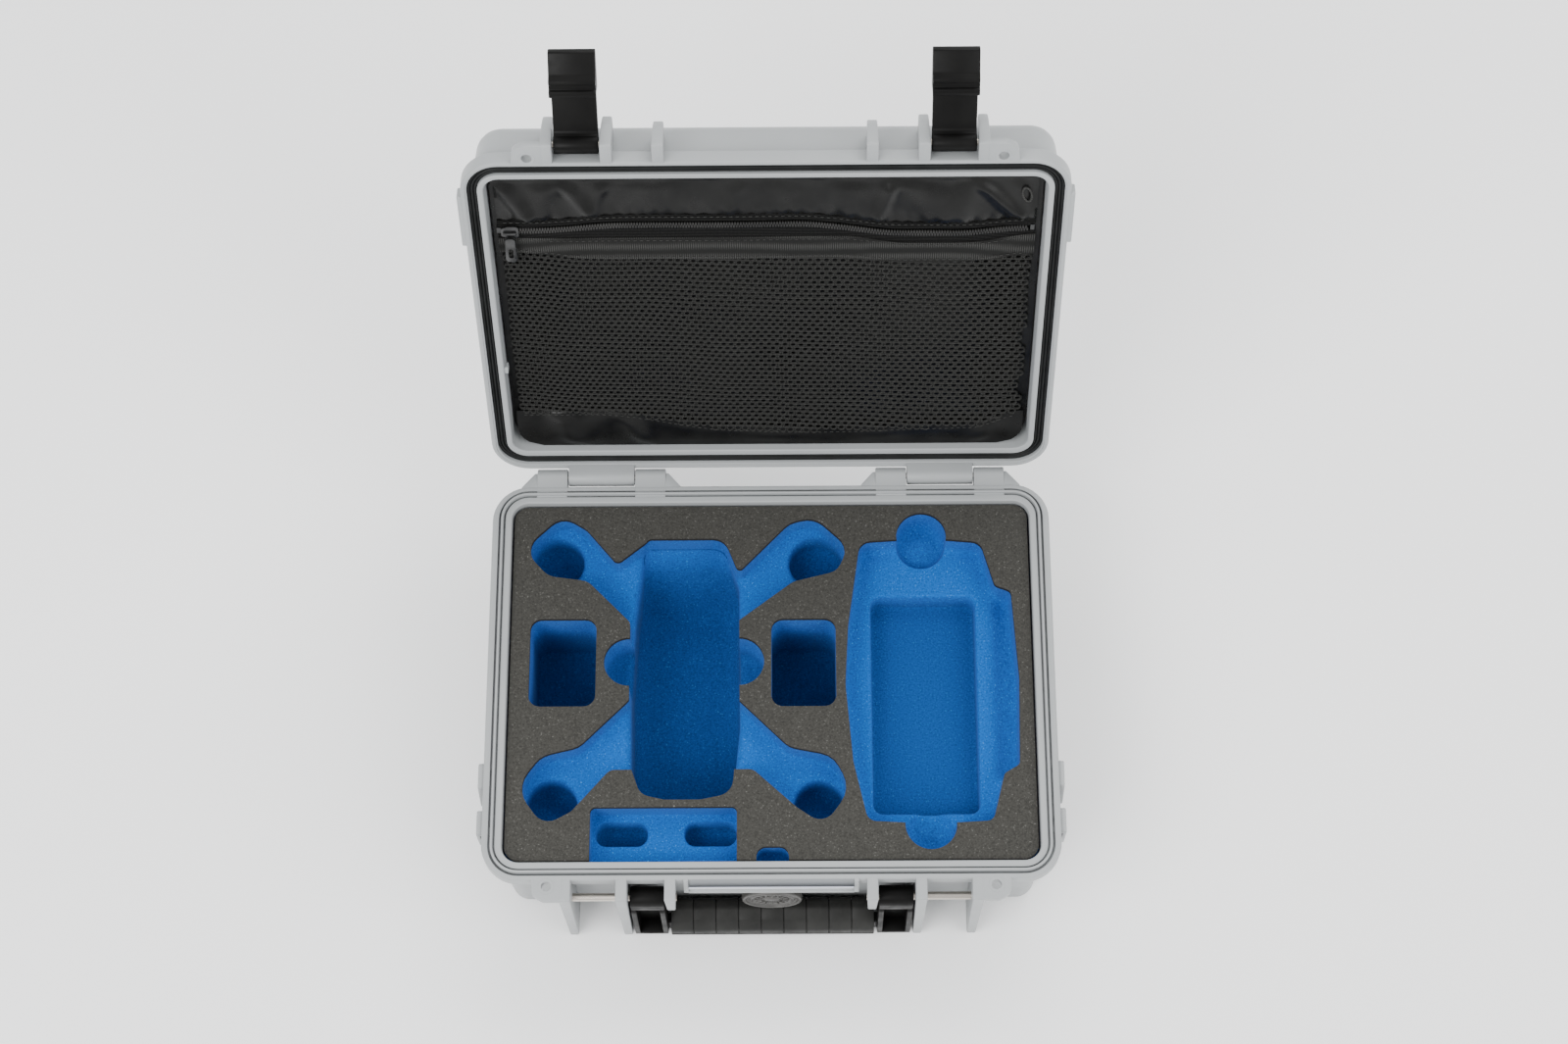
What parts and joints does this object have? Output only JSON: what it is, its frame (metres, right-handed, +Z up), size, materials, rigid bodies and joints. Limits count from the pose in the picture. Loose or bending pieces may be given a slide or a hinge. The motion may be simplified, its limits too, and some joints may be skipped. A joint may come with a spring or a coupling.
{
  "type": "drone carrying case",
  "caption": "Open hard carrying case for a small drone: grey shell, cut foam tray in grey and blue, mesh pouch in the lid, lever latches and folding handle.",
  "frame": {"origin": "on the floor under the middle of the tray, at the centre of the case's flat bottom", "axes": "+X to the right seen from the handle side, +Y from the handle towards the hinges, +Z up; the lid stands open at rest"},
  "size_m": [0.2744, 0.3169, 0.2959],
  "materials": {
    "shell": "fine satin texture, light grey",
    "steel": "drawn stainless rod",
    "black_plastic": "semi-gloss moulded black",
    "grip": "soft ribbed grip, matte",
    "valve_dark": "metallic dark grey moulding",
    "membrane": "white felt-like membrane",
    "seal": "matte foam rubber cord",
    "card": "plain printed card, blank",
    "window": "clear plastic window",
    "foam_grey": "closed-cell foam skin, charcoal",
    "foam_blue": "closed-cell foam, blue",
    "pouch_vinyl": "coated black cloth, crinkled",
    "pouch_tape": "woven black tape",
    "pouch_mesh": "black spacer mesh",
    "zip_teeth": "black coil zip",
    "zip_metal": "black lacquered zip metal"
  },
  "bodies": {
    "base": {"base_shell": "shell", "hinge_pin_left": "steel", "hinge_pin_right": "steel", "front_rod_left": "steel", "front_rod_right": "steel", "valve_body": "black_plastic", "valve_membrane": "membrane", "valve_gasket": "seal", "valve_cap": "valve_dark", "label_card": "card", "label_window": "window", "foam_base": "foam_blue", "foam_core": "foam_blue", "foam_top_sheet": "foam_grey"},
    "lid": {"lid_shell": "shell", "lid_seal": "seal", "latch_pin_left": "steel", "latch_pin_right": "steel", "pouch_bag": "pouch_vinyl", "pouch_top_band": "pouch_vinyl", "pouch_zip_tape": "pouch_tape", "zip_chain": "zip_teeth", "zip_end_stops": "zip_metal", "pouch_mesh": "pouch_mesh", "pouch_bottom_band": "pouch_vinyl", "pouch_loop": "pouch_tape"},
    "latch_left": {"latch_left": "black_plastic"},
    "latch_right": {"latch_right": "black_plastic"},
    "handle": {"handle_frame": "black_plastic", "handle_grip": "grip"},
    "zip_slider": {"zip_slider": "zip_metal"},
    "zip_pull": {"zip_pull": "zip_metal"}
  },
  "joints": [
    {"name": "lid_hinge", "type": "hinge", "parent": "base", "child": "lid", "pos_m": [0, 0.1039, 0.0668], "axis": [1, 0, 0], "range_deg": [0, 109]},
    {"name": "latch_left_turn", "type": "hinge", "parent": "lid", "child": "latch_left", "pos_m": [-0.08225, 0.1809, 0.25911], "axis": [1, 0, 0], "range_deg": [0, 103]},
    {"name": "latch_right_turn", "type": "hinge", "parent": "lid", "child": "latch_right", "pos_m": [0.08225, 0.1809, 0.25911], "axis": [1, 0, 0], "range_deg": [0, 103]},
    {"name": "handle_swing", "type": "hinge", "parent": "base", "child": "handle", "pos_m": [0, -0.102, 0.054], "axis": [-1, 0, 0], "range_deg": [0, 100]},
    {"name": "zip_slide", "type": "slide", "parent": "lid", "child": "zip_slider", "axis": [1, 0, 0], "range_m": [0, 0.227]},
    {"name": "zip_pull_swivel", "type": "hinge", "parent": "zip_slider", "child": "zip_pull", "pos_m": [-0.115, 0.1598, 0.21011], "axis": [0, 0.9455, -0.3256], "range_deg": [-80, 20]}
  ]
}
